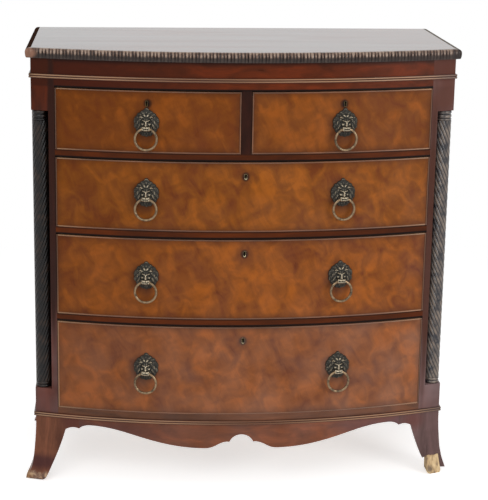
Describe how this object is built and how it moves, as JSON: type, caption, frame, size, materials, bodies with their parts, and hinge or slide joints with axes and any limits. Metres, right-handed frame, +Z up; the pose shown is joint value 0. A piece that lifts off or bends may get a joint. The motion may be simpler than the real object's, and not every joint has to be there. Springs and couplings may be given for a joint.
{
  "type": "bow front chest of drawers",
  "caption": "Bow front chest of short over long drawers, with lion mask ring handles, reeded corner columns, shaped apron and splayed bracket feet.",
  "frame": {"origin": "on the floor, under the middle of the whole chest", "axes": "+Z up; the bowed front faces -Y; +X to the right of someone facing the front"},
  "size_m": [1.082, 0.4919, 1.097],
  "materials": {
    "top_mahogany": "french polished",
    "case_mahogany": "french polished",
    "drawer_veneer": "french polished, figured veneer",
    "bead_mahogany": "french polished",
    "ebonised_wood": "ebonised, satin",
    "drawer_lining": "bare oak",
    "pine": "bare pine",
    "handle_brass": "dark patina",
    "lock_brass": "aged"
  },
  "bodies": {
    "case": {"apron": "case_mahogany", "back_feet": "case_mahogany", "backboards": "pine", "bottom_rail": "case_mahogany", "centre_divider": "case_mahogany", "column_left": "ebonised_wood", "column_right": "ebonised_wood", "corner_post_left": "case_mahogany", "corner_post_right": "case_mahogany", "drawer_guides": "pine", "drawer_rails": "case_mahogany", "dustboards": "pine", "frieze_rail": "case_mahogany", "front_foot_left": "case_mahogany", "front_foot_right": "case_mahogany", "gadroon_front": "case_mahogany", "gadroon_sides": "case_mahogany", "lower_string": "case_mahogany", "side_panel_left": "case_mahogany", "side_panel_right": "case_mahogany", "top_board": "top_mahogany", "upper_string": "case_mahogany"},
    "left_drawer": {"left_drawer_front": "drawer_veneer", "left_drawer_beads": "bead_mahogany", "left_drawer_box": "drawer_lining", "left_drawer_lock": "lock_brass", "left_drawer_masks": "handle_brass"},
    "left_drawer_bolt": {"left_drawer_bolt": "lock_brass"},
    "right_drawer": {"right_drawer_front": "drawer_veneer", "right_drawer_beads": "bead_mahogany", "right_drawer_box": "drawer_lining", "right_drawer_lock": "lock_brass", "right_drawer_masks": "handle_brass"},
    "right_drawer_bolt": {"right_drawer_bolt": "lock_brass"},
    "upper_drawer": {"upper_drawer_front": "drawer_veneer", "upper_drawer_beads": "bead_mahogany", "upper_drawer_box": "drawer_lining", "upper_drawer_lock": "lock_brass", "upper_drawer_masks": "handle_brass"},
    "upper_drawer_bolt": {"upper_drawer_bolt": "lock_brass"},
    "middle_drawer": {"middle_drawer_front": "drawer_veneer", "middle_drawer_beads": "bead_mahogany", "middle_drawer_box": "drawer_lining", "middle_drawer_lock": "lock_brass", "middle_drawer_masks": "handle_brass"},
    "middle_drawer_bolt": {"middle_drawer_bolt": "lock_brass"},
    "lower_drawer": {"lower_drawer_front": "drawer_veneer", "lower_drawer_beads": "bead_mahogany", "lower_drawer_box": "drawer_lining", "lower_drawer_lock": "lock_brass", "lower_drawer_masks": "handle_brass"},
    "lower_drawer_bolt": {"lower_drawer_bolt": "lock_brass"},
    "left_drawer_ring": {"left_drawer_ring": "handle_brass"},
    "right_drawer_ring": {"right_drawer_ring": "handle_brass"},
    "upper_drawer_ring_left": {"upper_drawer_ring_left": "handle_brass"},
    "upper_drawer_ring_right": {"upper_drawer_ring_right": "handle_brass"},
    "middle_drawer_ring_left": {"middle_drawer_ring_left": "handle_brass"},
    "middle_drawer_ring_right": {"middle_drawer_ring_right": "handle_brass"},
    "lower_drawer_ring_left": {"lower_drawer_ring_left": "handle_brass"},
    "lower_drawer_ring_right": {"lower_drawer_ring_right": "handle_brass"}
  },
  "joints": [
    {"name": "left_drawer_slide", "type": "slide", "parent": "case", "child": "left_drawer", "axis": [0, -1, 0], "range_m": [0, 0.3]},
    {"name": "right_drawer_slide", "type": "slide", "parent": "case", "child": "right_drawer", "axis": [0, -1, 0], "range_m": [0, 0.3]},
    {"name": "upper_drawer_slide", "type": "slide", "parent": "case", "child": "upper_drawer", "axis": [0, -1, 0], "range_m": [0, 0.3]},
    {"name": "middle_drawer_slide", "type": "slide", "parent": "case", "child": "middle_drawer", "axis": [0, -1, 0], "range_m": [0, 0.3]},
    {"name": "lower_drawer_slide", "type": "slide", "parent": "case", "child": "lower_drawer", "axis": [0, -1, 0], "range_m": [0, 0.3]},
    {"name": "left_drawer_bolt_lift", "type": "slide", "parent": "left_drawer", "child": "left_drawer_bolt", "axis": [0, 0, 1], "range_m": [0, 0.008]},
    {"name": "right_drawer_bolt_lift", "type": "slide", "parent": "right_drawer", "child": "right_drawer_bolt", "axis": [0, 0, 1], "range_m": [0, 0.008]},
    {"name": "upper_drawer_bolt_lift", "type": "slide", "parent": "upper_drawer", "child": "upper_drawer_bolt", "axis": [0, 0, 1], "range_m": [0, 0.008]},
    {"name": "middle_drawer_bolt_lift", "type": "slide", "parent": "middle_drawer", "child": "middle_drawer_bolt", "axis": [0, 0, 1], "range_m": [0, 0.008]},
    {"name": "lower_drawer_bolt_lift", "type": "slide", "parent": "lower_drawer", "child": "lower_drawer_bolt", "axis": [0, 0, 1], "range_m": [0, 0.008]},
    {"name": "left_drawer_ring_hinge", "type": "hinge", "parent": "left_drawer", "child": "left_drawer_ring", "pos_m": [-0.23897, -0.23106, 0.9144], "axis": [-0.99, 0.1411, 0], "range_deg": [-10, 120]},
    {"name": "right_drawer_ring_hinge", "type": "hinge", "parent": "right_drawer", "child": "right_drawer_ring", "pos_m": [0.23897, -0.23106, 0.9144], "axis": [-0.99, -0.1411, 0], "range_deg": [-10, 120]},
    {"name": "upper_drawer_ring_left_hinge", "type": "hinge", "parent": "upper_drawer", "child": "upper_drawer_ring_left", "pos_m": [-0.23897, -0.23106, 0.7429], "axis": [-0.99, 0.1411, 0], "range_deg": [-10, 120]},
    {"name": "upper_drawer_ring_right_hinge", "type": "hinge", "parent": "upper_drawer", "child": "upper_drawer_ring_right", "pos_m": [0.23897, -0.23106, 0.7429], "axis": [-0.99, -0.1411, 0], "range_deg": [-10, 120]},
    {"name": "middle_drawer_ring_left_hinge", "type": "hinge", "parent": "middle_drawer", "child": "middle_drawer_ring_left", "pos_m": [-0.23897, -0.23106, 0.53665], "axis": [-0.99, 0.1411, 0], "range_deg": [-10, 120]},
    {"name": "middle_drawer_ring_right_hinge", "type": "hinge", "parent": "middle_drawer", "child": "middle_drawer_ring_right", "pos_m": [0.23897, -0.23106, 0.53665], "axis": [-0.99, -0.1411, 0], "range_deg": [-10, 120]},
    {"name": "lower_drawer_ring_left_hinge", "type": "hinge", "parent": "lower_drawer", "child": "lower_drawer_ring_left", "pos_m": [-0.23897, -0.23106, 0.3029], "axis": [-0.99, 0.1411, 0], "range_deg": [-10, 120]},
    {"name": "lower_drawer_ring_right_hinge", "type": "hinge", "parent": "lower_drawer", "child": "lower_drawer_ring_right", "pos_m": [0.23897, -0.23106, 0.3029], "axis": [-0.99, -0.1411, 0], "range_deg": [-10, 120]}
  ]
}
